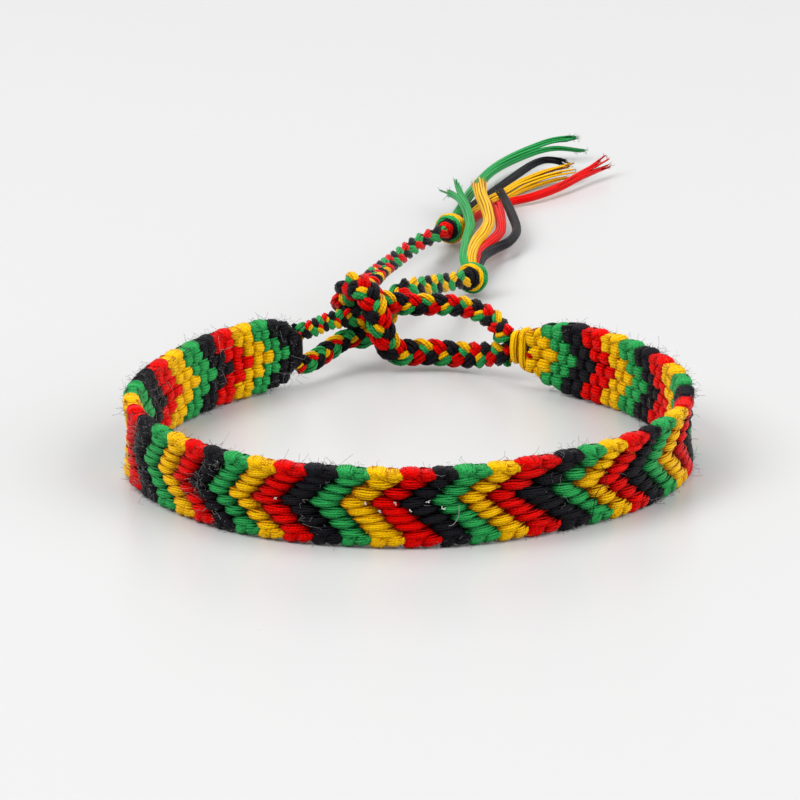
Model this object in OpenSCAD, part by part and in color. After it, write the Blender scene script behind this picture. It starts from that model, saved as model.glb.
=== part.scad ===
// Woven friendship bracelet with a plaited loop and two plaited ties.
// It stands on the lower edge of its band, closed by the tie knot at the back.
// Origin at floor level, under the middle of the band and its loop. X is the width, -Y the front.

/* [Band] */
// Width of the closed band from outer face to outer face, left to right
loop_w = 65.4; // [56:0.2:80]
// Depth from the outer face of the front to the two tips at the back
loop_d = 59.4; // [48:0.2:70]
// Width of the woven band, which is its height as it stands
band_w = 9.4; // [6:0.1:14]
// Thickness of the woven band
band_t = 2.1; // [1.4:0.1:3]
// Colour stripes from tip to tip
stripes = 47; // [24:1:60]
// Height of the rib that each stripe makes
rib_h = 0.3; // [0.1:0.05:0.45]
// How far the edges flare out where the band turns at the sides
flare_h = 0.5; // [0:0.1:1]
// Band width at the tip with the loop
loop_tip_w = 5.4; // [4:0.1:9]
// Band width at the tip with the ties
tie_tip_w = 4.2; // [3:0.1:9]

/* [Closure] */
// Diameter of a plait, of the loop and of the ties
plait_d = 2.4; // [1.6:0.1:3]
// Distance between the two legs of the start loop where they leave their tip
loop_leg_gap = 4.2; // [3.4:0.1:6]
// Distance between the two ties where they leave their tip
tie_leg_gap = 2.6; // [2.5:0.1:6]
// Clearance where one piece ends on the next
fit = 0.2; // [0.1:0.02:0.4]

/* [End knots and tassels] */
// Diameter of an end knot
end_knot_d = 4.2; // [3:0.1:6]
// Length of an end knot
end_knot_l = 4.4; // [3:0.1:7]
// Diameter of one tassel thread
thread_d = 1.2; // [0.8:0.1:1.6]
// Length of a tassel beyond its end knot
tassel_l = 42; // [20:1:60]

/* [Hidden] */

// Half the width and the depth of the band's middle surface
half_w = (loop_w - band_t) / 2;
mid_d = loop_d - band_t / 2;
// Length of the closure behind the tips, to the back of the start loop
loop_back = 7.8;
// Front face of the band and line of the two tips
front_y = -(loop_d + loop_back) / 2;
tip_y = front_y + loop_d;

// Plan of the band, from the tip with the loop round the front to the tip with the ties.
// Columns: [x as a share of half_w, distance behind the front as a share of mid_d]
PLAN = [
    [-0.42, 0.980], [-0.55, 0.930], [-0.695, 0.860], [-0.80, 0.785], [-0.88, 0.710], [-0.945, 0.620],
    [-0.985, 0.535], [-1, 0.450], [-0.975, 0.360], [-0.905, 0.270], [-0.79, 0.180], [-0.65, 0.105],
    [-0.46, 0.045], [-0.25, 0.015], [-0.03, 0], [0.18, 0.015], [0.39, 0.055], [0.61, 0.125], [0.78, 0.200],
    [0.90, 0.290], [0.975, 0.385], [1, 0.490], [0.99, 0.590], [0.945, 0.680], [0.875, 0.755], [0.79, 0.820],
    [0.68, 0.880], [0.57, 0.930], [0.40, 0.995]
];

// Half of the band's cross-section, round one face from edge to edge.
// Columns: [place across as a share of half the width, depth as a share of half the thickness]
SECTION = [
    [-1, 0], [-0.88, 0.66], [-0.62, 0.95], [-0.30, 1], [0, 0.94], [0.30, 1], [0.62, 0.95], [0.88, 0.66]
];

// Rings of one stripe.
// Columns: [place as a share of the stripe, depth below the rib's crest as a share of rib_h]
RIB = [[0, 1], [0.35, 0], [0.72, 0.25]];

// Where the edges flare. Columns: [place along the band as a share of its length, share of flare_h]
FLARE = [
    [0, 0], [0.14, 0.2], [0.24, 1], [0.34, 0.3], [0.5, 0.1], [0.66, 0.3], [0.76, 1], [0.87, 0.3], [1, 0]
];

// How the band widens from each tip.
// Columns: [distance from the tip as a share of band_w, share of the widening]
LOOP_END = [[0, 0], [0.17, 0.35], [0.33, 0.77], [0.5, 0.93], [0.7, 1]];
TIE_END = [[0, 0], [0.13, 0.1], [0.32, 0.24], [0.47, 0.45], [0.61, 0.66], [0.85, 0.94], [1, 1]];

// Points between two route points
steps = 6;

function between(p, q, r, s, t) =
    0.5 * (2 * q + (r - p) * t + (2 * p - 5 * q + 4 * r - s) * t * t + (3 * q - p - 3 * r + s) * t * t * t);

// Smooth line through the points of a route, with n points in each stretch
function smooth(route, n) = let (last = len(route) - 1) [
    for (i = [0:last - 1])
        for (j = [0:n - 1])
            between(
                i == 0 ? 2 * route[0] - route[1] : route[i - 1],
                route[i],
                route[i + 1],
                i == last - 1 ? 2 * route[last] - route[last - 1] : route[i + 2],
                j / n
            ),
    route[last]
];

// Distance along a line at each of its points
function distances(line) = [
    for (i = 0, s = 0; i < len(line); s = s + norm(line[min(i + 1, len(line) - 1)] - line[i]), i = i + 1) s
];

// The band's middle line in plan, and the tables that give x and y by distance along it
plan_line = smooth([for (p = PLAN) [p[0] * half_w, front_y + band_t / 2 + p[1] * mid_d]], steps);
plan_s = distances(plan_line);
band_l = plan_s[len(plan_s) - 1];
pitch = band_l / stripes;
X_AT = [for (i = [0:len(plan_line) - 1]) [plan_s[i], plan_line[i][0]]];
Y_AT = [for (i = [0:len(plan_line) - 1]) [plan_s[i], plan_line[i][1]]];

// The band's direction is taken between two points this far to either side
sight = pitch / 4;
function plan(s) = [lookup(s, X_AT), lookup(s, Y_AT)];
function heading(s) = let (d = plan(s + sight) - plan(s - sight)) d / norm(d);

// Width of the band at a distance from the tip with the loop
function width(s) =
    min(
        loop_tip_w + (band_w - loop_tip_w) * lookup(s / band_w, LOOP_END),
        tie_tip_w + (band_w - tie_tip_w) * lookup((band_l - s) / band_w, TIE_END)
    );

// Each stripe is a V whose point leads towards the loop. Its arms lag by one pitch at the edges.
// The lag fades out towards both tips, which end square.
fade_l = 2.5 * pitch;
function lag(s, across) = pitch * abs(across) * min(1, s / fade_l, max(0, (band_l - s) / fade_l));

// One point of the band, from its distance along, its share across, its share of depth (+ is the
// outer face) and the rib's fall there
function band_point(s, across, depth, fall) =
    let (
        at = min(s + lag(s, across), band_l),
        dir = heading(at),
        out = [dir[1], -dir[0]],
        edge = (width(at) / 2 - rib_h * fall) * across,
        face = depth * (band_t / 2 - rib_h * fall),
        flare = flare_h * lookup(at / band_l, FLARE) * across * across,
        p = plan(at) + out * (face + flare)
    )
    [p[0], p[1], band_w / 2 + edge];

// Places of the rings: [distance, fall], three for each stripe and one to end on
ring_places = [
    for (k = [0:stripes - 1])
        for (r = RIB) [(k + r[0]) * pitch, r[1]],
    [band_l, 1]
];

function band_ring(place) = [
    for (p = SECTION) band_point(place[0], p[0], p[1], place[1]),
    for (p = SECTION) band_point(place[0], -p[0], -p[1], place[1])
];

// Closed skin through rings of equal size. Each end is closed by strips across it.
module skin(rings) {
    n = len(rings[0]);
    last = (len(rings) - 1) * n;
    polyhedron(
        points = [for (r = rings) each r],
        faces = [
            for (j = [0:n / 2 - 1])
                let (k = (n - j) % n)
                each [[k, n - j - 1, j + 1], if (j > 0) [k, j + 1, j]],
            for (i = [0:len(rings) - 2])
                for (j = [0:n - 1])
                    let (a = i * n + j, b = i * n + (j + 1) % n)
                    each [[a, b, b + n], [a, b + n, a + n]],
            for (j = [0:n / 2 - 1])
                let (k = last + (n - j) % n)
                each [[k, last + j + 1, last + n - j - 1], if (j > 0) [k, last + j, last + j + 1]]
        ],
        convexity = 10
    );
}

// Unit vector square to d and nearest to prev, so that a tube isn't twisted
function turned(prev, d) = let (u = prev - d * (prev * d) / (d * d)) u / norm(u);

function tube_frames(line) = [
    for (
        i = 0,
        d = line[1] - line[0],
        u = turned(abs(d[2]) < 0.9 * norm(d) ? [0, 0, 1] : [1, 0, 0], d);
        i < len(line);
        i = i + 1,
        d = i < len(line) ? line[min(i + 1, len(line) - 1)] - line[max(i - 1, 0)] : d,
        u = turned(u, d)
    )
    [u, cross(d / norm(d), u)]
];

// Tube along a line, with a radius for each of its points
module tube(line, radii, sides) {
    frames = tube_frames(line);
    skin([
        for (i = [0:len(line) - 1]) [
            for (j = [0:sides - 1])
                let (a = (j + 0.5) * 360 / sides)
                line[i] + radii[i] * (frames[i][0] * cos(a) - frames[i][1] * sin(a))
        ]
    ]);
}

module plait(route) {
    line = smooth(route, 2);
    tube(line, [for (p = line) plait_d / 2], 8);
}

// Where the plaits leave the tips
loop_tip = plan(0);
loop_dir = -heading(sight);
tie_tip = plan(band_l);
tie_dir = heading(band_l - sight);
function at_tip(tip, dir, z, ahead) = [tip[0] + dir[0] * ahead, tip[1] + dir[1] * ahead, z];

// Routes behind the tips, drawn for a plait of this diameter: x from the middle, y from the
// line of the tips, z from the floor. They grow with the plait.
drawn_d = 2.4;
grow = plait_d / drawn_d;
// Straight stretch of a plait where it leaves a tip or enters an end knot
straight = plait_d * 0.6;
function placed(points) = [for (p = points) [p[0] * grow, tip_y + p[1] * grow, p[2] * grow]];

// Start loop: out along the upper leg, round the bight in the knot and back along the lower leg
LOOP_UP = [[-9.8, 3.2, 6.7], [-7.4, 5.4, 6.4]];
BIGHT = [[-5.2, 6.4, 6.2], [-3.8, 6.6, 4.9], [-5.2, 6.3, 3.6]];
LOOP_DOWN = [[-7.4, 5.2, 3.9], [-9.8, 2.9, 3.1]];

// Near tie: from the lower side of the tip up the front of the knot, over it and down on the left,
// behind the start loop and out to the back
TIE_NEAR = [
    [7.4, 3.8, 2.2], [2.4, 4.7, 2.3], [-1.6, 4, 2.6], [-3, 3.3, 4.8], [-3.8, 3.4, 7.4], [-5.1, 4.8, 9.9],
    [-6.8, 6.7, 10.4], [-7.9, 7.9, 8.5], [-7.7, 8.5, 6], [-5.6, 9.1, 4.2], [-3.2, 9.3, 4.6],
    [-2, 10.4, 6.8], [-0.6, 12.3, 8], [1.8, 17.4, 6.8], [4.6, 26, 4.6]
];

// Far tie: from the upper side of the tip behind the front pass, round over the start loop
// and out to the back
TIE_FAR = [
    [10.5, 2.7, 6.9], [8, 5.2, 7.6], [4.4, 7.2, 7.6], [0.4, 7.5, 7.5], [-2.8, 7, 8], [-4.3, 7.4, 8.7],
    [-5.3, 9, 8.8], [-5.4, 11, 8.8], [-4.7, 13.6, 8.7], [-3.7, 21, 7.6], [-1.7, 33, 5.5], [1.2, 45, 4.1]
];

// Middle of each end knot
NEAR_KNOT = [8.2, 35, 2.5];
FAR_KNOT = [5.6, 57.2, 2.5];

// Tassel threads, drawn for a tassel of this length: [x, y] from the middle of the end knot,
// and z from the floor
drawn_tassel = 42;
NEAR_THREADS = [
    [[-0.3, 4.5, 3.2], [-0.5, 10, 3.4], [-0.3, 19, 3.6], [0.2, 25.5, 3.6], [-0.6, 33, 3.5], [-2.2, 39, 3.5]],
    [[0.4, 5, 3.1], [1.2, 11, 3.1], [2.5, 19, 3.3], [2.8, 26.5, 3.4], [2.1, 34, 3.4], [1.5, 41, 3.5]],
    [[1, 5, 2.3], [1.9, 10.5, 2.2], [3.8, 17, 2.4], [4.5, 22, 2.6], [4.1, 28.5, 2.9], [3.6, 33, 3]],
    [[1.6, 4.5, 1.9], [2.8, 9.5, 1.8], [5.6, 17, 1.8], [6.3, 22, 2], [5.5, 30, 2.5], [4.3, 37, 2.9]]
];
FAR_THREADS = [
    [[0.4, 4.5, 2.4], [2, 11, 1.7], [5, 22, 1.5], [9.4, 35, 1.9], [14.7, 42.5, 2.3], [19.4, 42, 2.4]],
    [[0.9, 5, 1.9], [2.4, 10.5, 1.3], [5.4, 20.5, 1.2], [9.3, 27, 1.4], [13.4, 34, 1.6], [17, 32.5, 1.8]],
    [[1.4, 4.5, 1.4], [3, 9.5, 0.9], [5.1, 14.8, 0.8], [8.3, 19.4, 0.9], [12.5, 23, 1.1], [17.5, 29.5, 1.6]],
    [
        [2, 4, 1.2], [3.6, 7.5, 0.8], [5.8, 10.4, 0.7], [9.2, 14, 0.8], [14, 18.8, 1], [18.5, 26.6, 1.4],
        [22, 33.6, 1.8]
    ]
];

// Outline of an end knot.
// Columns: [place as a share of its length, radius as a share of half its diameter]
KNOT_OUTLINE = [
    [0, 0.52], [0.06, 0.78], [0.17, 0.93], [0.27, 0.86], [0.38, 1], [0.5, 0.92], [0.62, 1], [0.73, 0.86],
    [0.83, 0.93], [0.94, 0.78], [1, 0.52]
];

function knot_mid(knot) = placed([knot])[0];

// Direction in which a tie runs into its end knot
function aim(knot, route) = let (d = knot - route[len(route) - 1]) d / norm(d);

// Point of a tie that lies this far before its end, which meets the end knot
function tie_end(knot, route, back) = knot_mid(knot) - aim(knot, route) * (end_knot_l / 2 + fit + back);

module end_knot(mid, dir) {
    line = [for (k = KNOT_OUTLINE) mid + dir * (k[0] - 0.5) * end_knot_l];
    tube(line, [for (k = KNOT_OUTLINE) k[1] * end_knot_d / 2], 10);
}

module tassel(knot, route, threads) {
    mid = knot_mid(knot);
    dir = aim(knot, route);
    len_share = tassel_l / drawn_tassel;
    end_knot(mid, dir);
    for (t = threads) {
        line = smooth([
            mid + dir * end_knot_l / 8,
            for (p = t) [mid[0] + p[0] * len_share, mid[1] + p[1] * len_share, p[2]]
        ], 2);
        tube(line, [for (p = line) thread_d / 2], 6);
    }
}

module woven_band() {
    color("crimson") skin([for (place = ring_places) band_ring(place)]);
}

module start_loop() {
    low = (band_w - loop_leg_gap) / 2;
    high = (band_w + loop_leg_gap) / 2;
    color("seagreen")
        plait([
            at_tip(loop_tip, loop_dir, high, fit),
            at_tip(loop_tip, loop_dir, high, fit + straight),
            each placed(LOOP_UP),
            each placed(BIGHT),
            each placed(LOOP_DOWN),
            at_tip(loop_tip, loop_dir, low, fit + straight),
            at_tip(loop_tip, loop_dir, low, fit)
        ]);
}

// A tie, from its height on the tip to its end knot
module tie(z, route, knot) {
    plait([
        at_tip(tie_tip, tie_dir, z, fit),
        at_tip(tie_tip, tie_dir, z, fit + straight),
        each placed(route),
        tie_end(knot, route, straight),
        tie_end(knot, route, 0)
    ]);
}

module tie_near() {
    color("gold") tie((band_w - tie_leg_gap) / 2, TIE_NEAR, NEAR_KNOT);
}

module tie_far() {
    color("red") tie((band_w + tie_leg_gap) / 2, TIE_FAR, FAR_KNOT);
}

module tassel_near() {
    color("darkgreen") tassel(NEAR_KNOT, TIE_NEAR, NEAR_THREADS);
}

module tassel_far() {
    color("orange") tassel(FAR_KNOT, TIE_FAR, FAR_THREADS);
}

woven_band();
start_loop();
tie_near();
tie_far();
tassel_near();
tassel_far();
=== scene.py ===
import math

import bpy
import numpy as np
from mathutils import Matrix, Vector


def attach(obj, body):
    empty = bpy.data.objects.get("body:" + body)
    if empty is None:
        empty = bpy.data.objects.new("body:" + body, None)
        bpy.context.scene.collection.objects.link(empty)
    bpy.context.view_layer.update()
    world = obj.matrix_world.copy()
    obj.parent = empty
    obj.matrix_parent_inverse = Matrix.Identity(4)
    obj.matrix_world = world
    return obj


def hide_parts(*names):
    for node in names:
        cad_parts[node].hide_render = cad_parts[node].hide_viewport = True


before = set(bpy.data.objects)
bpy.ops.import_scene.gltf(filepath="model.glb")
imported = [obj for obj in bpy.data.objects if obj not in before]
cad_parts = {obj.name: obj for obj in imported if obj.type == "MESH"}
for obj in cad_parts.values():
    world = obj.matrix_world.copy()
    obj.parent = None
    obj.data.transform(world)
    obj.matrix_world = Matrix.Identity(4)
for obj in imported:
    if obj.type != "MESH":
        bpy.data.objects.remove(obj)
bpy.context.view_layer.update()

# Camera
# A long lens straight in front of the bracelet, 18.5 degrees above the floor. The point that it
# looks at lies on the floor in the middle of the picture.
MM = 0.001
view_point = Vector((-1.05, 18.8, 0)) * MM
view_rise = math.radians(18.5)
view_distance = 600 * MM
camera = bpy.data.objects.new("camera", bpy.data.cameras.new("camera"))
camera.data.sensor_width = 36
camera.data.lens = 224.1
camera.data.clip_start = 0.01
camera.location = view_point + view_distance * Vector((0, -math.cos(view_rise), math.sin(view_rise)))
camera.rotation_euler = (math.radians(90) - view_rise, 0, 0)
bpy.context.scene.collection.objects.link(camera)
bpy.context.scene.camera = camera


# Woven band
# A flat band of cotton yarn, knotted by hand row by row over itself, so that each row is a V of one
# colour. It is about two millimetres thick and has a line of turned loops along both edges.
loop_w = 65.4
loop_d = 59.4
band_w = 9.4
band_t = 2.1
stripes = 47
flare_h = 0.5
loop_tip_w = 5.4
tie_tip_w = 4.2
loop_back = 7.8
half_w = (loop_w - band_t) / 2
mid_d = loop_d - band_t / 2
front_y = -(loop_d + loop_back) / 2
tip_y = front_y + loop_d
COLOURS = ["black", "green", "yellow", "red"]

# Columns: x as a share of half_w, distance behind the front as a share of mid_d
PLAN = np.array([
    [-0.42, 0.980], [-0.55, 0.930], [-0.695, 0.860], [-0.80, 0.785], [-0.88, 0.710],
    [-0.945, 0.620], [-0.985, 0.535], [-1, 0.450], [-0.975, 0.360], [-0.905, 0.270],
    [-0.79, 0.180], [-0.65, 0.105], [-0.46, 0.045], [-0.25, 0.015], [-0.03, 0],
    [0.18, 0.015], [0.39, 0.055], [0.61, 0.125], [0.78, 0.200], [0.90, 0.290],
    [0.975, 0.385], [1, 0.490], [0.99, 0.590], [0.945, 0.680], [0.875, 0.755],
    [0.79, 0.820], [0.68, 0.880], [0.57, 0.930], [0.40, 0.995],
])
# Columns: place along the band as a share of its length, share of flare_h
FLARE = np.array([
    [0, 0], [0.14, 0.2], [0.24, 1], [0.34, 0.3], [0.5, 0.1], [0.66, 0.3], [0.76, 1], [0.87, 0.3], [1, 0],
])
# Columns: distance from the tip as a share of band_w, share of the widening
LOOP_END = np.array([[0, 0], [0.17, 0.35], [0.33, 0.77], [0.5, 0.93], [0.7, 1]])
TIE_END = np.array([[0, 0], [0.13, 0.1], [0.32, 0.24], [0.47, 0.45], [0.61, 0.66], [0.85, 0.94], [1, 1]])


def smooth(route, steps):
    """Smooth line through the points of a route, with this many steps in each stretch."""
    route = np.asarray(route, float)
    ends = np.vstack([2 * route[0] - route[1], route, 2 * route[-1] - route[-2]])
    t = np.arange(steps)[:, None] / steps
    stretches = [
        0.5 * (2 * q + (r - p) * t + (2 * p - 5 * q + 4 * r - s) * t**2 + (3 * q - p - 3 * r + s) * t**3)
        for p, q, r, s in zip(ends, ends[1:], ends[2:], ends[3:])
    ]
    return np.vstack(stretches + [route[-1:]])


def distances(line):
    return np.concatenate([[0], np.cumsum(np.linalg.norm(np.diff(line, axis=0), axis=1))])


def even(line, step):
    """The same line with points this far apart."""
    run = distances(line)
    places = np.linspace(0, run[-1], max(2, round(run[-1] / step)) + 1)
    return np.stack([np.interp(places, run, line[:, axis]) for axis in range(line.shape[1])], -1)


plan_line = smooth(PLAN * (half_w, mid_d) + (0, front_y + band_t / 2), 24)
plan_s = distances(plan_line)
band_l = plan_s[-1]
pitch = band_l / stripes


def unit(vectors):
    return vectors / np.linalg.norm(vectors, axis=-1, keepdims=True)


def plan(s):
    return np.stack([np.interp(s, plan_s, plan_line[:, 0]), np.interp(s, plan_s, plan_line[:, 1])], -1)


def heading(s):
    return unit(plan(s + pitch / 4) - plan(s - pitch / 4))


def width(s):
    return np.minimum(
        loop_tip_w + (band_w - loop_tip_w) * np.interp(s / band_w, *LOOP_END.T),
        tie_tip_w + (band_w - tie_tip_w) * np.interp((band_l - s) / band_w, *TIE_END.T),
    )


def on_band(s, across, out):
    """Place at a distance s along the band, across it from its middle line and out from its middle."""
    s, across, out = np.broadcast_arrays(s, across, out)
    inside = np.clip(s, 0, band_l)
    ahead = heading(inside)
    outward = np.stack([ahead[..., 1], -ahead[..., 0]], -1)
    flare = flare_h * np.interp(inside / band_l, *FLARE.T) * (2 * across / band_w) ** 2
    spot = plan(inside) + ahead * (s - inside)[..., None] + outward * (out + flare)[..., None]
    return np.concatenate([spot, band_w / 2 + across[..., None]], -1)


# The stripes. Columns: number, distance along the band of the point of its V, how far its upper and
# its lower end lie behind that point, height of the point over the middle of the band
STRIPES = np.array([
    [0, 0, 3.3, 3.3, 0], [1, 1.8, 3.4, 3.3, 0], [2, 4.1, 3.5, 3.4, 0], [3, 7.1, 3.6, 3.4, 0],
    [4, 10.3, 3.6, 3.4, 0], [5, 13.4, 3.5, 3.4, 0], [6, 16.9, 3.5, 3.4, 0], [7, 20.9, 3.5, 3.4, 0],
    [8, 25, 3.5, 3.5, 0], [10, 34, 3.4, 3.5, 0], [12, 42.5, 3, 3.6, 0], [13, 46.5, 2.7, 3.7, 0],
    [14, 49.9, 2.6, 3.8, 0], [15, 53.2, 2.5, 3.8, 0], [16, 56.3, 2.5, 3.8, 0], [17, 59.2, 2.5, 3.8, 0],
    [18, 62.2, 2.6, 3.8, 0.1], [19, 65.1, 3, 3.8, 0.15], [20, 68.6, 3, 3.6, 0.4],
    [21, 71.9, 3.3, 3.6, 0.35], [22, 75.3, 3.3, 3.3, 0.55], [23, 78.6, 3.6, 3.7, 0.65],
    [24, 81.8, 4, 4.6, 0.75], [25, 85.3, 2.9, 4.3, 0.85], [26, 88.4, 3.7, 4.6, 0.95],
    [27, 91.4, 3.9, 4.9, 0.8], [28, 94.8, 5.7, 5.6, 0.7], [29, 99.2, 4.4, 5.3, 0.5],
    [30, 102.6, 4, 5, 0.4], [31, 105.8, 3.9, 4.6, 0.3], [32, 109.2, 4.2, 4.2, 0.2],
    [33, 112.6, 3.2, 4, 0.1], [34, 116, 3.4, 3.8, 0], [36, 123.5, 3.5, 3.6, 0], [38, 132, 3.5, 3.5, 0],
    [40, 139.8, 3.5, 3.5, 0], [42, 146.4, 3.2, 3.2, 0], [44, 153.2, 2.6, 2.6, 0],
    [45, 156.3, 2.6, 2.6, 0], [46, 159.3, 2.6, 2.6, 0], [47, 166.5, 2.6, 2.6, 0],
])
tip_run = np.linspace(0, band_w, 60)


def trimmed(s, across):
    """Keeps a place along the band inside the outline of its two narrow tips."""
    reach = np.abs(across) + 0.5
    first = np.interp(reach, width(tip_run) / 2, tip_run)
    last = band_l - np.interp(reach, width(band_l - tip_run) / 2, tip_run)
    return np.clip(s, first, last)


def stripe_start(number, across):
    """Where a stripe begins, at a distance across the band from its middle line."""
    place, above, below, point = (np.interp(number, STRIPES[:, 0], column) for column in STRIPES.T[1:])
    up = across > point
    share = (across - point) / (np.where(up, 1, -1) * band_w / 2 - point)
    return place + np.where(up, above, below) * np.interp(share, [0, 0.66, 1], [0, 0.92, 1])


# All of the bracelet is one kind of soft spun yarn in four colours. Each length of yarn is a few
# plies that lie side by side, so every piece is made of many thin, slightly twisted plies.
class Value:
    """A socket of a material. Sums and products of values add Math nodes."""

    def __init__(self, socket):
        self.socket = socket

    def math(self, operation, *terms):
        return node(self.socket.id_data, "Math", {"operation": operation}, dict(enumerate(terms)))

    def __add__(self, other):
        return self.math("ADD", self, other)

    def __sub__(self, other):
        return self.math("SUBTRACT", self, other)

    def __rsub__(self, other):
        return self.math("SUBTRACT", other, self)

    def __mul__(self, other):
        return self.math("MULTIPLY", self, other)

    __radd__ = __add__
    __rmul__ = __mul__


def node(tree, kind, settings, sockets, output=0):
    """Adds a node of this kind, with its settings and then its sockets, and gives one of its outputs."""
    made = tree.nodes.new("ShaderNode" + kind)
    for name, value in settings.items():
        setattr(made, name, value)
    for name, value in sockets.items():
        if isinstance(value, Value):
            tree.links.new(value.socket, made.inputs[name])
        else:
            made.inputs[name].default_value = value
    return Value(made.outputs[output]) if made.outputs else None


def shaded_yarn_material(name, lit, shaded, gloss):
    """Spun yarn with painted shade: lit is the colour of a ply where it faces out and is lit, deep the
    darker colour of painted shade where it turns away or dives under others, and gloss the colour of its
    sheen. A painted shade value on the mesh, with random fibre noise and the twist stripes, mixes the first
    two."""
    material = bpy.data.materials.new(name)
    material.use_nodes = True
    tree = material.node_tree
    tree.nodes.clear()
    thread = node(tree, "UVMap", {"uv_map": "thread"}, {})
    along = node(tree, "SeparateXYZ", {}, {"Vector": thread})
    around = Value(along.socket.node.outputs["Y"])
    tone = node(tree, "Attribute", {"attribute_name": "tone"}, {}, "Fac")
    fibre_place = node(tree, "CombineXYZ", {}, {"X": along * 0.6, "Y": around * 6, "Z": tone * 30})
    fibres = node(tree, "TexNoise", {}, {"Vector": fibre_place, "Scale": 2.2, "Detail": 3.0}, "Fac")
    # Stripes along the twist of each ply. They make its bumps, and they also lighten and darken its colour
    # as painted shade of the twist
    twist = node(tree, "Math", {"operation": "SINE"}, {0: (along * 2.6 + around * 2) * (2 * math.pi)})
    light = node(tree, "Clamp", {}, {"Value": tone + (fibres - 0.5) * 0.8 + twist * 0.13})
    colour = node(
        tree,
        "Mix",
        {"data_type": "RGBA"},
        {"Factor": light, "A": (*shaded, 1), "B": (*lit, 1)},
        "Result",
    )
    bump = node(
        tree, "Bump", {}, {"Height": fibres + twist * 0.5, "Strength": 0.7, "Distance": 0.00006}
    )
    surface = node(
        tree,
        "BsdfPrincipled",
        {},
        {
            "Base Color": colour,
            "Roughness": 0.27 + fibres * 0.2,
            "Specular IOR Level": 0.5,
            "Specular Tint": (*gloss, 1),
            "Normal": bump,
        },
    )
    node(tree, "OutputMaterial", {}, {"Surface": surface})
    return material


# Colours of each yarn: where it is lit, its painted shade, and the tint of its sheen
yarns = {
    "black": shaded_yarn_material("black_yarn", (0.011, 0.010, 0.014), (0.001, 0.001, 0.002), (0.06, 0.065, 0.055)),
    "green": shaded_yarn_material("green_yarn", (0.025, 0.40, 0.09), (0.0, 0.04, 0.008), (0.16, 0.6, 0.26)),
    "yellow": shaded_yarn_material("yellow_yarn", (0.98, 0.57, 0.0), (0.36, 0.09, 0.0), (1.0, 0.75, 0.06)),
    "red": shaded_yarn_material("red_yarn", (0.88, 0.001, 0.0), (0.11, 0.0, 0.0), (1.0, 0.02, 0.01)),
}


def carried_frames(lines):
    """Directions ahead, to the side and up at each point of each line, carried along without a twist."""
    ahead = unit(np.gradient(lines, axis=1))
    least = np.eye(3)[np.argmin(np.abs(ahead[:, 0]), axis=-1)]
    side = np.empty_like(lines)
    side[:, 0] = unit(np.cross(ahead[:, 0], least))
    for i in range(1, lines.shape[1]):
        last = side[:, i - 1]
        side[:, i] = unit(last - np.sum(last * ahead[:, i], axis=-1, keepdims=True) * ahead[:, i])
    return ahead, side, np.cross(ahead, side)


class Skein:
    """The plies of one piece, laid one after another and made into one mesh."""

    def __init__(self):
        self.points, self.faces, self.uvs = [], [], []
        self.tones, self.colours, self.count = [], [], 0

    def lay(self, lines, radius, colour, hearts, tone=0.6, sides=5):
        """Adds a tube along each line. lines has the shape (plies, points, 3), in millimetres. Each point
        gets a painted shade value from its given tone: the side of a tube that looks away from its heart, a
        point for each of its points, is painted lighter, and the side towards it darker."""
        plies, places, _ = lines.shape
        _, side, up = carried_frames(lines)
        turn = np.arange(sides) * 2 * math.pi / sides
        round_it = side[:, :, None] * np.cos(turn)[:, None] + up[:, :, None] * np.sin(turn)[:, None]
        radius = np.broadcast_to(radius, (plies, places))
        rings = lines[:, :, None] + radius[..., None, None] * round_it
        index = np.arange(plies * places * sides).reshape(plies, places, sides) + self.count
        beside = np.roll(index, -1, axis=2)
        quads = np.stack([index[:, :-1], beside[:, :-1], beside[:, 1:], index[:, 1:]], axis=-1)
        steps = np.linalg.norm(np.diff(lines, axis=1), axis=-1)
        run = np.concatenate([np.zeros((plies, 1)), np.cumsum(steps, axis=1)], axis=1)
        run = run + np.arange(plies)[:, None] * 7.3
        run = np.broadcast_to(run[:, :, None], index.shape)
        around = np.broadcast_to(np.arange(sides) / sides, index.shape)
        corner_u = np.stack([run[:, :-1], run[:, :-1], run[:, 1:], run[:, 1:]], axis=-1)
        low, high = around[:, :-1], around[:, :-1] + 1 / sides
        corner_v = np.stack([low, high, high, low], axis=-1)
        caps = np.concatenate([index[:, 0, ::-1], index[:, -1]])
        cap_u = np.concatenate([run[:, 0], run[:, -1]])
        self.points.append(rings.reshape(-1, 3))
        self.faces += quads.reshape(-1, 4).tolist() + caps.tolist()
        self.uvs.append(np.stack([corner_u, corner_v], axis=-1).reshape(-1, 2))
        self.uvs.append(np.stack([cap_u, np.zeros_like(cap_u)], axis=-1).reshape(-1, 2))
        away = lines - hearts
        away = away / np.maximum(np.linalg.norm(away, axis=-1, keepdims=True), 0.05)
        tone = np.broadcast_to(tone, (plies, places))
        # Painted light and shade: lighter on the side that faces away from the heart, darker towards it
        shade = tone[..., None] + 0.95 * (np.sum(round_it * away[:, :, None], axis=-1) - 0.53)
        self.tones.append(shade.ravel())
        self.colours += [colour] * (quads.size // 4 + len(caps))
        self.count += index.size

    def piece(self, name, slot, *nodes):
        """Makes the object, which stands for the named nodes and rides with the bracelet."""
        mesh = bpy.data.meshes.new(name)
        mesh.from_pydata((np.concatenate(self.points) * MM).tolist(), [], self.faces)
        used = [colour for colour in yarns if colour in self.colours]
        for colour in used:
            mesh.materials.append(yarns[colour])
        mesh.polygons.foreach_set("material_index", [used.index(colour) for colour in self.colours])
        mesh.polygons.foreach_set("use_smooth", [True] * len(mesh.polygons))
        thread = mesh.uv_layers.new(name="thread")
        thread.data.foreach_set("uv", np.concatenate(self.uvs).ravel())
        # The painted shade of each point, which the yarn material reads
        tone = mesh.attributes.new("tone", "FLOAT", "POINT")
        tone.data.foreach_set("value", np.concatenate(self.tones))
        made = bpy.data.objects.new(name, mesh)
        bpy.context.scene.collection.objects.link(made)
        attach(made, "root")
        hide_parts(*nodes)
        return made


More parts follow.
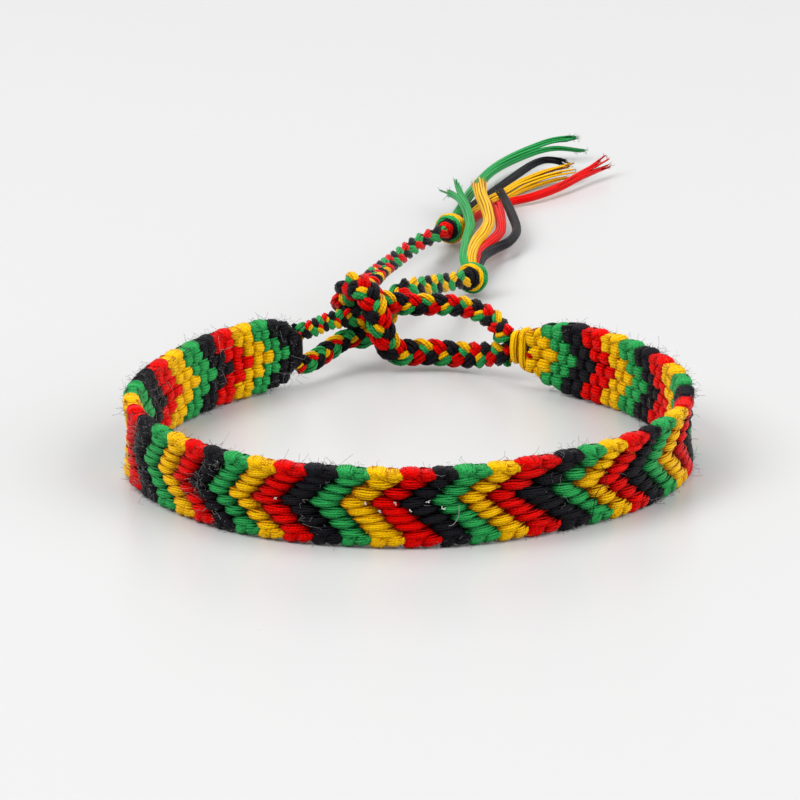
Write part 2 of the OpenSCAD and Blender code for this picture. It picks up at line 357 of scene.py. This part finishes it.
# A knot on the outer face is a bean of plies. Columns: place as a share of the knot's length, height
# over the middle of the band, spread of the plies as a share
OUTER_KNOT = np.array([
    [0, 0.02, 0.6], [0.06, 0.50, 0.82], [0.18, 0.82, 0.98], [0.36, 0.97, 1.04], [0.58, 0.93, 1.04],
    [0.77, 0.68, 0.98], [0.91, 0.34, 0.8], [1, 0.0, 0.6],
])
# The two shorter and rounder bumps that the inner face shows for it. Columns as above
INNER_KNOT = np.array([
    [0, 0.2, 0.62], [0.09, 0.66, 0.9], [0.3, 0.95, 1.04], [0.7, 0.95, 1.04], [0.91, 0.66, 0.9],
    [1, 0.2, 0.62],
])
# The yarn inside the knot
CORE = np.array([[0, 0, 1], [0.25, 0, 1], [0.75, 0, 1], [1, 0, 1]])
# How light a ply is along an outer and an inner knot, and across the plies of an outer one: painted shade,
# darker at the ends where the plies dive under the next knot and on the outer plies, which lie lower
OUTER_SHADE = np.array([-0.5, -0.1, 0.34, 0.56, 0.56, 0.3, -0.15, -0.5])
INNER_SHADE = np.array([-0.2, 0.25, 0.6, 0.6, 0.25, -0.2])
PLY_SHADE = np.array([-0.3, -0.02, 0.12, 0.02, -0.25])
knot_plies_n = len(PLY_SHADE)
# Single knots fill the band to this height above and below its middle. Beyond it the edges turn over
knots_half = 3
# Distance between two rows of knots, and between two rows of bumps on the inner face
knots_apart = 1
bumps_apart = 1.3
# How much lower the outermost plies of a knot and of a bump lie
knot_crown = 0.36
bump_crown = 0.42
ply_r = 0.16
bump_ply_r = 0.25
# Radii of the yarn inside: under a knot, between two rows of knots and along an edge
core_r = 0.56
between_r = 0.5
edge_core_r = 0.6
# Lengths of the two tips that are wrapped with yarn
wrapped = (0.5, 2.5)


def knot_plies(start, length, across, path, plies, step, slope, crown, face, rng):
    """Plies of knots that start at these places. Each lies across the band from its knot's middle."""
    place = (np.arange(plies) - (plies - 1) / 2)[:, None]
    length = length[:, None, None]
    run = path[:, 0] * length
    many = (len(start), plies, 1)
    sway = 2 * math.pi * (run / 2.3 + rng.uniform(0, 1, many))
    spread = place * np.reshape(step, (-1, 1, 1)) * path[:, 2]
    spread = spread + slope[:, None, None] * (run - 0.5 * length) + 0.04 * np.sin(sway)
    height = path[:, 1] - crown * (place / max(plies / 2, 1)) ** 2 + 0.035 * np.cos(sway)
    height = height + rng.normal(0, 0.025, many)
    s = start[:, None, None] + rng.normal(0, 0.06, many) + run
    across = across[:, None, None] + spread
    lines = on_band(s, across, face * height)
    hearts = on_band(s, across, 0)
    return lines.reshape(-1, len(path), 3), hearts.reshape(-1, len(path), 3)


# Two bundles turn over an edge in each stripe. Columns: middle and half length as shares of the
# stripe, height as a share of the whole edge, how far the top leans back
UPPER_TURNS = [[0.31, 0.37, 1, 0.3], [0.78, 0.30, 0.66, 0.1]]
LOWER_TURNS = [[0.33, 0.29, 1, 0.45], [0.78, 0.30, 0.7, 0.1]]
turn_points_n = 9


def edge_plies(start, end, edge, bundle, rng):
    """Plies that rise from a dimple on the outer face, fan out over the edge and close on the inner
    face. Turn goes round the edge, and fan along it."""
    middle, share, high, lean = bundle
    length = end - start
    turn = np.linspace(-1.1, 1.1, turn_points_n) * math.pi / 2
    reach = np.sign(np.cos(turn)) * np.abs(np.cos(turn)) ** 0.8
    fan = np.linspace(-0.1, 1.1, 90) * math.pi
    fan = np.stack([np.cos(fan), np.sin(fan)], -1)
    fan = even(np.sign(fan) * np.abs(fan) ** 0.7 * (share * length, 0.9 * high), 0.245)
    along, rises = fan[:, :1], fan[:, 1:]
    many = len(fan)
    bow = along / (share * length)
    s = start + middle * length + along * reach + 0.25 * (1 - reach) - lean * rises * reach
    s = s + rng.normal(0, 0.03, (many, 1))
    half = width(s) / 2
    across = half - 1.06 + (rises + rng.normal(0, 0.03, (many, 1))) * reach
    out = np.sign(turn) * np.abs(np.sin(turn)) ** 0.8 * (0.94 - 0.12 * bow**2)
    out = out * (1 - 0.3 * np.abs(turn / turn[-1]) ** 10)
    lines = on_band(s, edge * across, out)
    hearts = on_band(start + middle * length + 0 * s, edge * (half - 1.1), 0)
    return lines, hearts


def knot_row(number, apart, rng):
    """Where the knots of a stripe lie across the band, where they start, how long and how high they are.
    One lies on the point of the V, and the rows along its two arms lie about this far apart."""
    point = np.interp(number, STRIPES[:, 0], STRIPES[:, 4])
    above, below = round((knots_half - point) / apart), round((knots_half + point) / apart)
    level = np.arange(-below, above + 1)
    high = np.where(level > 0, (knots_half - point) / above, (knots_half + point) / below)
    across = point + level * high + rng.normal(0, 0.05, len(level))
    high[below] = (knots_half / above + knots_half / below) / 2
    start = stripe_start(number, across) if number else 0 * across
    start = np.maximum(trimmed(start, across), wrapped[0]) + rng.normal(0, 0.08, len(level))
    end = np.minimum(trimmed(stripe_start(number + 1, across), across), band_l - wrapped[1])
    long_enough = end - start > 0.9
    length = (end - start) * rng.uniform(0.98, 1.08, len(level))
    return (values[long_enough] for values in (across, start, length, high))


def band_skein(colour, rng):
    """All the yarn of one colour: for each of its stripes the outer knots, the yarn inside, the bumps
    on the inner face and the turns over both edges."""
    skein = Skein()
    for k in range(COLOURS.index(colour), stripes, len(COLOURS)):
        across, start, length, high = knot_row(k, knots_apart, rng)
        slope = np.where(across > across[len(across) // 2], -0.05, 0.04) + rng.normal(0, 0.05, len(across))
        outer, hearts = knot_plies(
            start, length, across, OUTER_KNOT, knot_plies_n, 0.22 * high, slope, knot_crown, 1, rng
        )
        # Painted shade along and across the plies of each knot, with a random tone for each ply
        tone = OUTER_SHADE + rng.normal(0, 0.08, (len(outer), 1)) + np.tile(PLY_SHADE, len(across))[:, None]
        skein.lay(outer, ply_r, colour, hearts, tone)
        # The yarn inside the knots and between their rows is laid at the lowest tone: painted shade, as it
        # shows only deep in the gaps
        core, hearts = knot_plies(start - 0.1, length * 1.05, across, CORE, 1, 1, slope, 0, 1, rng)
        skein.lay(core, core_r, colour, hearts, 0.0, sides=4)
        between, onset, reach = ((row[1:] + row[:-1]) / 2 for row in (across, start, length))
        core, hearts = knot_plies(onset, reach, between, CORE, 1, 1, slope[1:], 0, 1, rng)
        skein.lay(core, between_r, colour, hearts, 0.0, sides=4)
        across, start, length, high = knot_row(k, bumps_apart, rng)
        for share, size in ((0.0, 0.6), (0.54, 0.5)):
            slope = rng.normal(0, 0.05, len(across))
            bump, hearts = knot_plies(
                start + share * length, length * size, across, INNER_KNOT, knot_plies_n, 0.2 * high,
                slope, bump_crown, -1, rng,
            )
            # Painted shade along each bump, with a random tone for each ply
            tone = INNER_SHADE + rng.normal(0, 0.05, (len(bump), 1))
            skein.lay(bump, bump_ply_r, colour, hearts, tone)
        for edge in (-1, 1):
            rim = edge * band_w / 2
            start = max(stripe_start(k, rim), wrapped[0])
            end = min(stripe_start(k + 1, rim), band_l - wrapped[1])
            if end - start < 1:
                continue
            for bundle in UPPER_TURNS if edge > 0 else LOWER_TURNS:
                turned, hearts = edge_plies(start, end, edge, bundle, rng)
                # Painted shade: the turns are darker at both ends, where they go in under the knots on each
                # face
                tone = 0.6 - 0.5 * np.abs(np.linspace(-1, 1, turn_points_n)) ** 6
                tone = tone + rng.normal(0, 0.06, (len(turned), 1))
                skein.lay(turned, ply_r * 1.1, colour, hearts, tone)
            s = np.linspace(start, end, 4)
            # The yarn inside the edge, laid at the lowest tone as painted shade
            inside = on_band(s, edge * (width(s) / 2 - 1.15), 0)[None]
            skein.lay(inside, edge_core_r, colour, inside, 0.0)
            # A last small knot on each face, beside the second bundle
            leaf = start + 0.42 * (end - start)
            low = edge * (width(np.array([leaf])) / 2 - 0.95)
            for face, path in ((1, OUTER_KNOT), (-1, INNER_KNOT)):
                leaves, hearts = knot_plies(
                    np.array([leaf]), np.array([end - leaf + 0.3]), low, path, knot_plies_n, 0.22,
                    np.array([-0.1 * edge]), 0.3, face, rng,
                )
                # Painted shade: the small knot is darker at both ends, where it dives under its neighbours
                tone = np.interp(path[:, 0], [0, 0.3, 0.7, 1], [-0.4, 0.5, 0.5, -0.4])
                tone = tone + rng.normal(0, 0.08, (knot_plies_n, 1))
                skein.lay(leaves, ply_r, colour, hearts, tone)
    return skein


# Yarn wound round the two tips. Columns: place along the band, share of its width
WRAPS = {"black": [[0.5, 0.8]], "yellow": [[band_l - 0.6, 0.92], [band_l - 1.9, 1.06]]}
wrap_plies_n = 6
# Ends of two yarns that show on the inner face by the yellow wraps: height over the middle of the band
YARN_ENDS = {"black": 0.3, "red": -0.35}


def wrap_plies(s, share, rng):
    """A bundle of plies that winds once round the whole band, over this share of its width."""
    place = np.linspace(-1, 1, wrap_plies_n)[:, None]
    turn = np.linspace(0, 2 * math.pi, 19)
    places = s + 0.5 * place + rng.normal(0, 0.03, (wrap_plies_n, len(turn)))
    half = width(places) / 2 * share - 0.1 - 0.25 * place**2
    across = half * np.sin(turn) * (1 + rng.normal(0, 0.01, (wrap_plies_n, 1)))
    out = (0.98 - 0.5 * place**2) * np.sign(np.cos(turn)) * np.abs(np.cos(turn)) ** 0.6
    return on_band(places, across, out), on_band(places, across * 0.6, 0)


band_rng = np.random.default_rng(11)
for colour in COLOURS:
    skein = band_skein(colour, band_rng)
    for s, share in WRAPS.get(colour, ()):
        wound, hearts = wrap_plies(s, share, band_rng)
        tone = 0.55 + band_rng.normal(0, 0.06, (wrap_plies_n, 1))
        skein.lay(wound, ply_r * 1.2, colour, hearts, tone)
        # A core under the wraps, laid at the lowest tone as painted shade
        skein.lay(on_band(s, np.linspace(-1.3, 1.3, 4), 0)[None], 0.9, colour, on_band(s, 0, 0), 0.0)
    if colour in YARN_ENDS:
        end, hearts = knot_plies(
            np.array([band_l - 3.5]), np.array([1.0]), np.array([YARN_ENDS[colour]]),
            INNER_KNOT * (1, 1.14, 1), 3, 0.22, np.zeros(1), 0.2, -1, band_rng,
        )
        skein.lay(end, 0.17, colour, hearts, 0.4)
    skein.piece("band_" + colour, "band_yarn", "woven_band")


# Fuzz
# Fine loose fibres stand out from the yarn, most of all along the edges, and pale lint clings to the
# black stripes.
# Lint and specks likewise get a lit colour and a darker painted shade colour
yarns["lint"] = shaded_yarn_material("lint", (0.5, 0.49, 0.47), (0.25, 0.24, 0.23), (0.4, 0.4, 0.4))
yarns["speck"] = shaded_yarn_material("speck", (0.95, 0.95, 0.93), (0.9, 0.9, 0.88), (1, 1, 1))


def hairs(skein, roots, away, length, radius, colour, rng):
    """Thin bent hairs from these roots, which start out in the direction away."""
    many = len(roots)
    bend = rng.normal(0, 1, (many, 3))
    curl = rng.normal(0, 1, (many, 3))
    t = np.linspace(0, 1, 5)[None, :, None]
    lines = away[:, None] * t + bend[:, None] * t**2 * 0.85 + curl[:, None] * np.sin(2 * math.pi * t) * 0.28
    lines = roots[:, None] + length[:, None, None] * lines
    lines[..., 2] = np.maximum(lines[..., 2], radius)
    skein.lay(lines, radius, colour, lines, 1.0, sides=3)


# Columns: colour, number of hairs, length, how flat they lie, radius
FUZZ = [
    ("black", 2600, 0.42, 0.5, 0.015), ("lint", 1200, 0.65, 1, 0.018), ("green", 300, 0.36, 0.4, 0.015),
    ("yellow", 300, 0.36, 0.4, 0.015), ("red", 300, 0.36, 0.4, 0.015),
]
# Little of the lint lies beyond this place along the band
lint_end = 62
fuzz_rng = np.random.default_rng(3)
fuzz = Skein()
for colour, count, reach, flat, radius in FUZZ:
    s = fuzz_rng.uniform(0.5, band_l - 0.5, count * 4)
    share = fuzz_rng.uniform(-1, 1, count * 4)
    # The yarn's own hairs stand mostly along the edges, and most of those along the upper one
    if colour != "lint":
        share = np.sign(share + 0.4) * np.abs(share) ** 0.15
    side = fuzz_rng.choice([1, 1, -1], count * 4)
    across = share * (width(s) / 2 - 0.15)
    number = sum((s > stripe_start(k, across)).astype(int) for k in range(1, stripes))
    own = "black" if colour == "lint" else colour
    stray = fuzz_rng.uniform(0, 1, count * 4) < 0.3 * (colour == "black")
    kept = (number % len(COLOURS) == COLOURS.index(own)) | stray
    if colour == "lint":
        kept = kept & (fuzz_rng.uniform(0, 1, count * 4) < np.where(s < lint_end, 1, 0.12))
    s, across, side, share = (row[kept][:count] for row in (s, across, side, share))
    depth = np.sqrt(1 - np.abs(share) ** 8)
    roots = on_band(s, across, side * (depth * 0.95 + 0.12 * (colour == "lint")))
    away = unit(roots - on_band(s, across * 0.8, 0))
    lean = fuzz_rng.normal(0, 0.7, away.shape)
    lean = lean - away * np.sum(lean * away, axis=-1, keepdims=True) * flat
    length = reach * np.minimum(fuzz_rng.gamma(5, 0.2, len(s)), 1.9)
    hairs(fuzz, roots, away * (1 - flat) + lean, length, radius, colour, fuzz_rng)

# White specks of lint. Columns: number of the stripe, place ahead of the point of its V and above it
SPECKS = [
    [20, -0.3, 0.1], [23, -0.3, 0.1], [23, 1.3, -0.8], [24, -0.3, 0.1], [24, 1.3, -0.9], [25, -0.3, 0.1],
    [25, 1.3, -0.8],
]
for number, ahead, above in SPECKS:
    point = np.interp(number, STRIPES[:, 0], STRIPES[:, 4])
    s = stripe_start(number, point) + ahead + fuzz_rng.normal(0, 0.06, 6)
    roots = on_band(s, point + above + fuzz_rng.normal(0, 0.06, 6), 1.05)
    hairs(fuzz, roots, fuzz_rng.normal(0, 0.5, (6, 3)), np.full(6, 0.13), 0.045, "speck", fuzz_rng)

# Two long loose fibres. Columns: place along the band, height over its middle line, distance outwards
FIBRES = [
    ("lint", [[88.3, 0.4, 1.2], [88.2, -0.9, 1.25], [87.7, -1.8, 1.2], [87.2, -2, 1.1]]),
    ("black", [
        [105.6, 2.4, 1.25], [106.3, 0.8, 1.45], [104.8, -0.9, 1.45], [104.4, -3, 1.4], [104.2, -4.4, 1.2],
    ]),
]
for colour, route in FIBRES:
    line = on_band(*smooth(route, 8).T)[None]
    fuzz.lay(line, 0.045, colour, line, 0.7, sides=4)
fuzz.piece("band_fuzz", "band_yarn", "woven_band")


# Plaits
# The start loop and the two ties are plaited from the ends of the band's own yarns: three strands
# of two yarns each, laid flat over one another.
plait_d = 2.4
# A plait begins this far from the band's tip, and first runs straight on for a short way
fit = 0.2
straight = plait_d * 0.6
# Distance between the two plaits at the start loop's tip and at the ties' tip
loop_leg_gap = 4.2
tie_leg_gap = 2.6
end_knot_l = 4.4
# The flat side of a plait or of a loose thread looks to the front and a little upwards
flat_side = np.array([0, -0.95, 0.32])


def twisted(lines, plies, ring, turns, start=0.0):
    """Lines of plies that lie in a ring round each line and wind round it, turns times per millimetre."""
    _, side, up = carried_frames(lines)
    steps = np.linalg.norm(np.diff(lines, axis=1), axis=-1)
    run = np.concatenate([np.zeros((len(lines), 1)), np.cumsum(steps, axis=1)], axis=1)
    angle = 2 * math.pi * (np.arange(plies)[None, :, None] / plies + run[:, None] * turns) + start
    ring = np.broadcast_to(ring, run.shape)[:, None, :, None]
    round_it = side[:, None] * np.cos(angle)[..., None] + up[:, None] * np.sin(angle)[..., None]
    wound = lines[:, None] + ring * round_it
    return wound.reshape(-1, lines.shape[1], 3)


def plait(skein, line, stretches, sizes):
    """Three strands of two yarns plaited flat along a line, with the flat side to the front. Stretches:
    share of the line at which each begins, colours of its strands. Columns of sizes: share of the line,
    breadth of the plait, length in which a strand comes back to its side."""
    ahead = unit(np.gradient(line, axis=0))
    across = np.empty_like(line)
    across[0] = unit(np.cross(ahead[0], flat_side))
    for i in range(1, len(line)):
        carried = across[i - 1] - ahead[i] * (across[i - 1] @ ahead[i])
        wanted = np.cross(ahead[i], flat_side)
        wanted = wanted * np.sign(wanted @ carried)
        across[i] = unit(unit(carried) + 0.2 * wanted)
    across = unit(across - ahead * np.sum(across * ahead, axis=1, keepdims=True))
    above = np.cross(across, ahead)
    run = distances(line)
    share, breadths, periods = np.array(sizes).T
    yarn_d = np.interp(run / run[-1], share, breadths)[:, None] / 4
    period = np.interp(run / run[-1], share, periods)
    turned = np.cumsum(np.gradient(run) / period)[:, None]
    begins = [round(begin * len(line)) for begin, _ in stretches] + [len(line)]
    for number in range(3):
        phase = 2 * math.pi * (turned + number / 3)
        sway = 1.05 * yarn_d * np.sin(phase)
        lift = 0.6 * yarn_d * np.sin(2 * phase)
        lean = np.arctan(1.05 * 2 * math.pi * yarn_d / period[:, None] * np.cos(phase))
        beside = across * np.cos(lean) - ahead * np.sin(lean)
        for half, place in enumerate((-0.36, 0.36)):
            yarn = line + across * sway + above * lift + beside * yarn_d * place
            wound = twisted(yarn[None], 5, 0.30 * yarn_d[:, 0], 0.12, number)
            for (_, strands), first, last in zip(stretches, begins, begins[1:]):
                part = slice(max(first - 1, 0), last)
                colour = strands[number][half]
                skein.lay(wound[:, part], 0.32 * yarn_d[part, 0], colour, line[None, part], 0.5)


def placed(route):
    return np.array(route) + (0, tip_y, 0)


def at_tip(s, z, ahead):
    """Point beyond one of the band's tips, at this height and distance."""
    end = 0 if s == 0 else band_l
    along = heading(np.array(abs(end - pitch / 4))) * (-1 if s == 0 else 1)
    return np.append(plan(np.array(float(end))) + along * ahead, z)


# Start loop
# The plait that the bracelet was begun with, folded into an eye at the band's left tip. Both its
# legs run into the band, and the ties are knotted through it.
LOOP_ROUTE = [
    [-9.8, 3.2, 6.7], [-7.4, 5.4, 6.4], [-5.2, 6.4, 6.2], [-3.8, 6.6, 4.9], [-5.2, 6.3, 3.6],
    [-7.4, 5.2, 3.9], [-9.8, 2.9, 3.1],
]
loop_low = (band_w - loop_leg_gap) / 2
loop_high = (band_w + loop_leg_gap) / 2
loop_points = np.vstack([
    at_tip(0, loop_high, -0.6),
    at_tip(0, loop_high, fit + straight),
    placed(LOOP_ROUTE),
    at_tip(0, loop_low, fit + straight),
    at_tip(0, loop_low, -0.6),
])
loop_skein = Skein()
plait(
    loop_skein,
    even(smooth(loop_points, 12), 0.33),
    [(0, (("red", "yellow"), ("green", "green"), ("black", "black")))],
    [[0, 2.3, 3.6], [0.4, 2.5, 3.8], [0.6, 2.7, 4.8], [1, 2.5, 5]],
)
loop_skein.piece("start_loop_plait", "plait_yarn", "start_loop")


# Ties
# Two plaits from the band's right tip. They are knotted through the start loop, and each runs on to
# the back and ends in a knot. They slide in the closing knot, which is not a piece of its own.

# Share of the tie at which each set of three strands begins, and its colours. The later set comes to
# the front inside the closing knot
NEAR_STRANDS = [
    (0, (("red", "red"), ("black", "black"), ("green", "yellow"))),
    (0.66, (("yellow", "yellow"), ("black", "black"), ("green", "green"))),
]
FAR_STRANDS = [
    (0, (("red", "red"), ("green", "yellow"), ("black", "black"))),
    (0.55, (("red", "red"), ("green", "green"), ("black", "black"))),
]
# Routes, from the tip through the closing knot to just before the end knot
TIE_NEAR = [
    [7.4, 3.8, 2.2], [2.4, 4.7, 2.3], [-1.6, 4, 2.6], [-3, 3.3, 4.8], [-3.8, 3.4, 7.4],
    [-5.1, 4.8, 9.9], [-6.8, 6.7, 10.4], [-7.9, 7.9, 8.5], [-7.7, 8.5, 6], [-5.6, 9.1, 4.2],
    [-3.2, 9.3, 4.6], [-2, 10.4, 6.8], [-0.6, 12.3, 8], [1.8, 17.4, 6.8], [4.6, 26, 4.6],
]
TIE_FAR = [
    [10.5, 2.7, 6.9], [8, 5.2, 7.6], [4.4, 7.2, 7.6], [0.4, 7.5, 7.5], [-2.8, 7, 8], [-4.3, 7.4, 8.7],
    [-5.3, 9, 8.8], [-5.4, 11, 8.8], [-4.7, 13.6, 8.7], [-3.7, 21, 7.6], [-1.7, 33, 5.5], [1.2, 45, 4.1],
]
# Yarn that shows inside the closing knot
KNOT_HEART = [[-7.3, 8.4, 5.2], [-6.6, 8, 7.2], [-5.2, 7.6, 9]]
NEAR_KNOT = [8.2, 35, 2.5]
FAR_KNOT = [5.6, 57.2, 2.5]


def tie_points(z, route, knot):
    """Points of a tie, from its tip to its end knot, and the direction in which it ends."""
    end = unit(np.array(knot) - route[-1])
    knot_at = placed(knot)
    return np.vstack([
        at_tip(1, z, fit),
        at_tip(1, z, fit + straight),
        placed(route),
        knot_at - end * (end_knot_l / 2 + fit + straight),
        knot_at - end * (end_knot_l / 2 + fit),
    ]), end


# Columns: share of the tie, breadth of the plait, length in which a strand comes back to its side
NEAR_SIZES = [[0, 3, 5], [0.08, 3.4, 5.1], [0.45, 3.5, 5], [0.6, 2.7, 6.5], [1, 2.5, 8.5]]
FAR_SIZES = [[0, 2.8, 5], [0.3, 2.9, 5], [0.42, 2.8, 6], [0.52, 2.4, 9], [1, 2.3, 10.5]]
near_points, near_aim = tie_points((band_w - tie_leg_gap) / 2, TIE_NEAR, NEAR_KNOT)
far_points, far_aim = tie_points((band_w + tie_leg_gap) / 2, TIE_FAR, FAR_KNOT)
ties = []
for name, points, strands, sizes in (
    ("tie_near", near_points, NEAR_STRANDS, NEAR_SIZES),
    ("tie_far", far_points, FAR_STRANDS, FAR_SIZES),
):
    line = even(smooth(points, 12), 0.33)
    skein = Skein()
    plait(skein, line, strands, sizes)
    if name == "tie_near":
        crossing = even(smooth(placed(KNOT_HEART), 6), 0.5)[None]
        skein.lay(twisted(crossing, 5, 0.5, 0.1), 0.5, "black", crossing, 0.4)
    made = skein.piece(name + "_plait", "plait_yarn", name)
    ties.append((made, line))


# End knots and tassels
# Each tie ends in an overhand knot of its four colours. Beyond it the yarns hang loose as a short
# tassel, cut by hand and a little frayed.

# Columns: place of a turn along the knot, its radius
KNOT_TURNS = [[-1.6, 0.7], [-1.2, 1.05], [-0.65, 1.4], [0.0, 1.6], [0.6, 1.45], [1.15, 1.1], [1.6, 0.7]]
NEAR_TURNS = ["black", "black", "yellow", "green", "green", "red", "black"]
FAR_TURNS = ["red", "black", "green", "yellow", "yellow", "red", "black"]
thread_plies_n = 12
# Loose threads: colour, breadth at the knot and at the end, gap between its two parts at the end, route
NEAR_THREADS = [
    ("green", 1, 1.4, 1.7, [
        [-1, 4.8, 3.4], [-0.6, 13.8, 3.4], [0, 20, 3.5], [-0.3, 26.4, 3.6], [-1, 32.7, 3.5],
        [-2.5, 39.5, 3.5],
    ]),
    ("yellow", 1.3, 1.7, 0, [
        [-0.1, 6.1, 3.3], [0.6, 13.1, 3.2], [1.9, 18.3, 3.3], [2.5, 22.6, 3.4], [2.3, 28.8, 3.4],
        [1.7, 35.5, 3.4], [1.5, 41.5, 3.5],
    ]),
    ("red", 1.2, 1.4, 0, [
        [0.6, 8.4, 2.6], [1.8, 14.1, 2.3], [3, 17.2, 2.4], [4.1, 21.7, 2.5], [4, 28.6, 2.9], [3.5, 33.2, 3],
    ]),
    ("black", 1.3, 1.1, 0, [
        [1.4, 9.7, 2.2], [3.1, 14.7, 1.9], [5, 17.7, 1.9], [6, 20.8, 2], [6.2, 24.2, 2.1],
        [5.7, 29.3, 2.4], [5.1, 34.4, 2.6], [4.2, 39.2, 2.9],
    ]),
]
FAR_THREADS = [
    ("green", 1.1, 1.6, 0.8, [
        [0.6, 5.2, 2.4], [1.9, 13.6, 1.9], [3.4, 21.5, 1.6], [6.3, 31.4, 1.7], [10.4, 38.4, 1.9],
        [14.8, 42.1, 2.3], [19.2, 41.8, 2.4],
    ]),
    ("black", 1.1, 1, 0, [
        [1, 5.6, 2], [2.5, 12.1, 1.5], [5.9, 21.5, 1.3], [8.9, 28.4, 1.4], [11.7, 34.4, 1.5],
        [13.6, 36.7, 1.6], [15.3, 35.9, 1.7], [16.8, 33.8, 1.8],
    ]),
    ("yellow", 1.1, 2.1, 0, [
        [1.5, 5.7, 1.5], [3.2, 12.4, 1], [5.3, 17.5, 0.9], [7.9, 21.9, 0.9], [10, 25.6, 1],
        [12.7, 28.6, 1.2], [15.2, 30.4, 1.4], [17.4, 30.7, 1.7],
    ]),
    ("red", 0.9, 1.2, 0.4, [
        [2, 5.2, 1.3], [3.7, 11.3, 0.9], [6, 15.9, 0.8], [8.6, 18.7, 0.8], [11, 20.2, 0.9],
        [13.2, 22.3, 1], [15.9, 25.5, 1.2], [18.6, 29.5, 1.5], [22.3, 34.5, 1.9],
    ]),
]


def end_knot(skein, middle, aim, turns):
    """Turns of yarn laid side by side round the line of a tie, each with its ends tucked in."""
    places = 26
    side = unit(np.cross(aim, (0, 0, 1)))
    up = np.cross(side, aim)
    for number, (colour, (place, radius)) in enumerate(zip(turns, KNOT_TURNS)):
        angle = np.linspace(0, 2.15 * math.pi, places) + number * 2.2
        dive = 1 - 0.5 * (np.abs(np.linspace(-1, 1, places)) ** 8)
        reach = (radius * dive)[:, None]
        shift = (place + 0.5 * np.linspace(-0.5, 0.5, places))[:, None]
        line = middle + aim * shift + reach * (side * np.cos(angle)[:, None] + up * np.sin(angle)[:, None])
        skein.lay(twisted(line[None], 5, 0.27, 0.12), 0.26, colour, middle, 0.5)


def tassel(name, knot, aim, turns, threads, rng):
    """An end knot and its threads. Each thread is a flat bunch of plies that open out at the cut end."""
    skein = Skein()
    middle = placed(knot)
    end_knot(skein, middle, aim, turns)
    for colour, breadth, end_breadth, gap, route in threads:
        points = np.vstack([middle + aim * end_knot_l / 8, np.array(route) + (middle[0], middle[1], 0)])
        line = even(smooth(points, 10), 0.6)
        share = np.linspace(0, 1, len(line))
        ahead = unit(np.gradient(line, axis=0))
        beside = unit(np.cross(ahead, flat_side))
        above = np.cross(beside, ahead)
        turn = np.arange(thread_plies_n)[:, None] * 2 * math.pi / thread_plies_n + 0.26
        place = np.cos(turn)
        each = (thread_plies_n, 1)
        frayed = np.clip((share - 0.84) / 0.16, 0, 1) ** 1.5
        half = (breadth + (end_breadth - breadth) * share) / 2 * (1 + 0.1 * frayed) - 0.15
        shift = place * half + np.sign(place) * gap / 2 * frayed + rng.normal(0, 0.12, each) * frayed
        shift = shift + 0.04 * np.sin(share * 14 + rng.uniform(0, 6, each))
        rise = 0.6 * half * np.sin(turn) + 0.05 * np.sin(share * 17 + rng.uniform(0, 6, each))
        rise = rise + rng.normal(0, 0.15, each) * frayed
        plies = line + shift[..., None] * beside + rise[..., None] * above
        cut = rng.integers(0, 5, thread_plies_n)
        for ply, short in zip(plies, cut):
            ply = ply[: len(ply) - short]
            thick = 0.2 * (1 - 0.35 * np.clip((share[: len(ply)] - 0.86) / 0.14, 0, 1))
            skein.lay(ply[None], thick, colour, line[None, : len(ply)], 0.6)
            onward = 1.5 * unit(ply[-1] - ply[-4]) + rng.normal(0, 0.2, (4, 3))
            hairs(skein, ply[[-2, -1, -1, -1]], onward, rng.uniform(0.15, 0.4, 4), 0.03, colour, rng)
    return skein.piece(name + "_yarns", "tassel_thread", name)


tassel_rng = np.random.default_rng(5)
tassel_near = tassel("tassel_near", NEAR_KNOT, near_aim, NEAR_TURNS, NEAR_THREADS, tassel_rng)
tassel_far = tassel("tassel_far", FAR_KNOT, far_aim, FAR_TURNS, FAR_THREADS, tassel_rng)
for (made, line), end in zip(ties, (tassel_near, tassel_far)):
    line[0] * MM
    line * MM


# Floor and light
# A plain pale table with a faint gloss. Soft lights stand above it, at both sides and far behind.
bpy.ops.mesh.primitive_plane_add(size=6, location=(0, 0, 0))
floor = bpy.context.object
floor.name = "floor"
floor_material = bpy.data.materials.new("pale_table")
floor_material.use_nodes = True
floor_tree = floor_material.node_tree
floor_tree.nodes.clear()
speckle = node(floor_tree, "TexNoise", {}, {"Scale": 900.0, "Detail": 2.0}, "Fac")
table = node(
    floor_tree,
    "BsdfPrincipled",
    {},
    {"Base Color": (0.525, 0.525, 0.525, 1), "Roughness": 0.26 + speckle * 0.06, "Specular IOR Level": 0.4},
)
node(floor_tree, "OutputMaterial", {}, {"Surface": table})
floor.data.materials.append(floor_material)

world = bpy.data.worlds.new("studio")
bpy.context.scene.world = world
world.use_nodes = True
world.node_tree.nodes["Background"].inputs["Color"].default_value = (1, 1, 1, 1)
world.node_tree.nodes["Background"].inputs["Strength"].default_value = 0.48


def soft_light(name, place, aim, wide, high, power):
    """A soft panel of light, this wide and high in metres, that looks at the point aim."""
    lamp = bpy.data.lights.new(name, "AREA")
    lamp.shape = "RECTANGLE"
    lamp.size = wide
    lamp.size_y = high
    lamp.energy = power
    made = bpy.data.objects.new(name, lamp)
    made.location = place
    made.rotation_euler = (Vector(aim) - Vector(place)).to_track_quat("-Z", "Y").to_euler()
    bpy.context.scene.collection.objects.link(made)


soft_light("key", (-0.22, 0.38, 0.95), (0, 0.03, 0), 0.6, 0.6, 3.6)
soft_light("left", (-0.75, -0.25, 0.85), (0, 0, 0), 0.7, 0.7, 11)
soft_light("right", (0.85, -0.25, 0.65), (0, 0, 0), 1.1, 1.1, 11.5)
soft_light("back", (0, 1.6, 0.55), (0, 0, 0.3), 3.2, 1.0, 3)
bpy.context.scene.view_settings.view_transform = "Standard"
